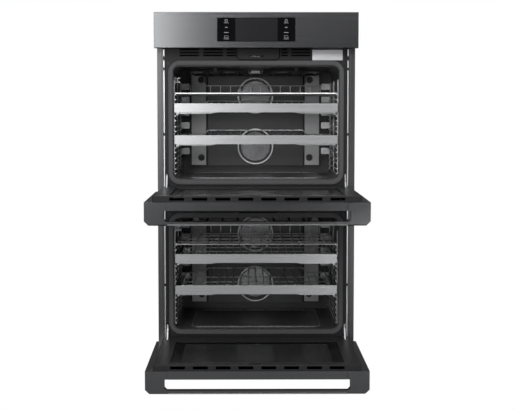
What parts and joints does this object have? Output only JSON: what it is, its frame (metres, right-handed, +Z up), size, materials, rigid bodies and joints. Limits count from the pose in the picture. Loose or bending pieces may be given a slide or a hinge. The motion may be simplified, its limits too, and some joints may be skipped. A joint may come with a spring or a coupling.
{
  "type": "wall oven",
  "caption": "Built-in double wall oven with two drop-down doors, wire racks on side slides, rear fans and a flush touch control panel over the doors.",
  "frame": {"origin": "under the middle of the base, at the front plane of the face frames", "axes": "+Z up, +Y into the cabinet, +X to the right as seen from the front; doors open towards -Y"},
  "size_m": [0.759, 1.166, 1.322],
  "materials": {
    "graphite_steel": "dark brushed stainless steel, satin",
    "black_enamel": "black enamel, semi-gloss",
    "cavity_enamel": "dark grey vitreous enamel with fine speckle",
    "stainless": "brushed stainless steel",
    "chrome_wire": "nickel-chrome plated wire",
    "slide_steel": "zinc-plated steel",
    "galvanised": "galvanised sheet",
    "trim_metal": "dark satin trim strip",
    "black_glass": "black printed glass, glossy",
    "door_glass": "dark low-emissivity glass",
    "gasket": "grey woven glass-fibre sleeve",
    "insulation": "mineral wool",
    "lamp_glass": "ribbed clear glass",
    "element_steel": "dark oxidised heating element sheath",
    "board": "green circuit board",
    "label_metal": "satin aluminium plate",
    "motor": "black motor can",
    "black_screw": "black oxide screw"
  },
  "bodies": {
    "chassis": {"side_panels": "galvanised", "back_panel": "galvanised", "top_panel": "galvanised", "base_pan": "galvanised", "side_trims": "trim_metal", "bottom_trim": "graphite_steel", "upper_front_frame": "black_enamel", "lower_front_frame": "black_enamel", "upper_cavity": "cavity_enamel", "lower_cavity": "cavity_enamel", "door_gaskets": "gasket", "insulation_blankets": "insulation", "rack_ladders": "chrome_wire", "fan_baffles": "cavity_enamel", "fan_guards": "chrome_wire", "fan_motors": "motor", "ring_elements": "element_steel", "broil_elements": "element_steel", "bake_elements": "element_steel", "cavity_lamps": "lamp_glass", "temperature_probes": "chrome_wire", "control_fascia": "graphite_steel", "control_glass": "black_glass", "control_board": "board", "latch_covers": "black_enamel", "blower_housing": "galvanised", "rating_plate": "label_metal", "hinge_arms": "chrome_wire", "trim_screws": "black_screw", "terminal_box": "galvanised", "glide_rails": "slide_steel"},
    "upper_door": {"upper_door_skin": "graphite_steel", "upper_door_glass": "black_glass", "upper_door_liner": "black_enamel", "upper_door_inner_glass": "door_glass", "upper_door_handle": "graphite_steel", "upper_door_hinges": "slide_steel"},
    "upper_top_rack": {"upper_top_rack": "chrome_wire"},
    "upper_middle_rack": {"upper_middle_rack": "stainless"},
    "upper_bottom_rack": {"upper_bottom_rack": "stainless"},
    "upper_middle_slides": {"upper_middle_slides": "slide_steel"},
    "upper_bottom_slides": {"upper_bottom_slides": "slide_steel"},
    "upper_bottom_fan": {"upper_bottom_fan": "slide_steel"},
    "upper_top_fan": {"upper_top_fan": "slide_steel"},
    "upper_latch": {"upper_latch": "slide_steel"},
    "lower_door": {"lower_door_skin": "graphite_steel", "lower_door_glass": "black_glass", "lower_door_liner": "black_enamel", "lower_door_inner_glass": "door_glass", "lower_door_handle": "graphite_steel", "lower_door_hinges": "slide_steel"},
    "lower_top_rack": {"lower_top_rack": "chrome_wire"},
    "lower_middle_rack": {"lower_middle_rack": "stainless"},
    "lower_bottom_rack": {"lower_bottom_rack": "stainless"},
    "lower_middle_slides": {"lower_middle_slides": "slide_steel"},
    "lower_bottom_slides": {"lower_bottom_slides": "slide_steel"},
    "lower_bottom_fan": {"lower_bottom_fan": "slide_steel"},
    "lower_top_fan": {"lower_top_fan": "slide_steel"},
    "lower_latch": {"lower_latch": "slide_steel"},
    "blower_wheel": {"blower_wheel": "slide_steel"}
  },
  "joints": [
    {"name": "upper_door_hinge", "type": "hinge", "parent": "chassis", "child": "upper_door", "pos_m": [0, -0.035, 0.647], "axis": [1, 0, 0], "range_deg": [-90, 0]},
    {"name": "upper_top_rack_slide", "type": "slide", "parent": "chassis", "child": "upper_top_rack", "axis": [0, -1, 0], "range_m": [0, 0.33]},
    {"name": "upper_middle_rack_slide", "type": "slide", "parent": "chassis", "child": "upper_middle_rack", "axis": [0, -1, 0], "range_m": [0, 0.4]},
    {"name": "upper_bottom_rack_slide", "type": "slide", "parent": "chassis", "child": "upper_bottom_rack", "axis": [0, -1, 0], "range_m": [0, 0.4]},
    {"name": "upper_middle_slides_slide", "type": "slide", "parent": "chassis", "child": "upper_middle_slides", "axis": [0, -1, 0], "range_m": [0, 0.2]},
    {"name": "upper_bottom_slides_slide", "type": "slide", "parent": "chassis", "child": "upper_bottom_slides", "axis": [0, -1, 0], "range_m": [0, 0.2]},
    {"name": "upper_bottom_fan_spin", "type": "hinge", "parent": "chassis", "child": "upper_bottom_fan", "pos_m": [0, 0.5, 0.81], "axis": [0, 1, 0], "continuous": true},
    {"name": "upper_top_fan_spin", "type": "hinge", "parent": "chassis", "child": "upper_top_fan", "pos_m": [0, 0.5, 1.02], "axis": [0, 1, 0], "continuous": true},
    {"name": "upper_latch_turn", "type": "hinge", "parent": "chassis", "child": "upper_latch", "pos_m": [-0.02, 0.022, 1.162], "axis": [0, 0, -1], "range_deg": [0, 75]},
    {"name": "lower_door_hinge", "type": "hinge", "parent": "chassis", "child": "lower_door", "pos_m": [0, -0.035, 0.076], "axis": [1, 0, 0], "range_deg": [-90, 0]},
    {"name": "lower_top_rack_slide", "type": "slide", "parent": "chassis", "child": "lower_top_rack", "axis": [0, -1, 0], "range_m": [0, 0.33]},
    {"name": "lower_middle_rack_slide", "type": "slide", "parent": "chassis", "child": "lower_middle_rack", "axis": [0, -1, 0], "range_m": [0, 0.4]},
    {"name": "lower_bottom_rack_slide", "type": "slide", "parent": "chassis", "child": "lower_bottom_rack", "axis": [0, -1, 0], "range_m": [0, 0.4]},
    {"name": "lower_middle_slides_slide", "type": "slide", "parent": "chassis", "child": "lower_middle_slides", "axis": [0, -1, 0], "range_m": [0, 0.2]},
    {"name": "lower_bottom_slides_slide", "type": "slide", "parent": "chassis", "child": "lower_bottom_slides", "axis": [0, -1, 0], "range_m": [0, 0.2]},
    {"name": "lower_bottom_fan_spin", "type": "hinge", "parent": "chassis", "child": "lower_bottom_fan", "pos_m": [0, 0.5, 0.239], "axis": [0, 1, 0], "continuous": true},
    {"name": "lower_top_fan_spin", "type": "hinge", "parent": "chassis", "child": "lower_top_fan", "pos_m": [0, 0.5, 0.449], "axis": [0, 1, 0], "continuous": true},
    {"name": "lower_latch_turn", "type": "hinge", "parent": "chassis", "child": "lower_latch", "pos_m": [-0.02, 0.022, 0.591], "axis": [0, 0, -1], "range_deg": [0, 75]},
    {"name": "blower_spin", "type": "hinge", "parent": "chassis", "child": "blower_wheel", "pos_m": [0, 0.4, 1.24], "axis": [0, 0, 1], "continuous": true}
  ],
  "couplings": [
    {"joint": "upper_middle_slides_slide", "follows": "upper_middle_rack_slide", "ratio": 0.5},
    {"joint": "upper_bottom_slides_slide", "follows": "upper_bottom_rack_slide", "ratio": 0.5},
    {"joint": "lower_middle_slides_slide", "follows": "lower_middle_rack_slide", "ratio": 0.5},
    {"joint": "lower_bottom_slides_slide", "follows": "lower_bottom_rack_slide", "ratio": 0.5}
  ]
}
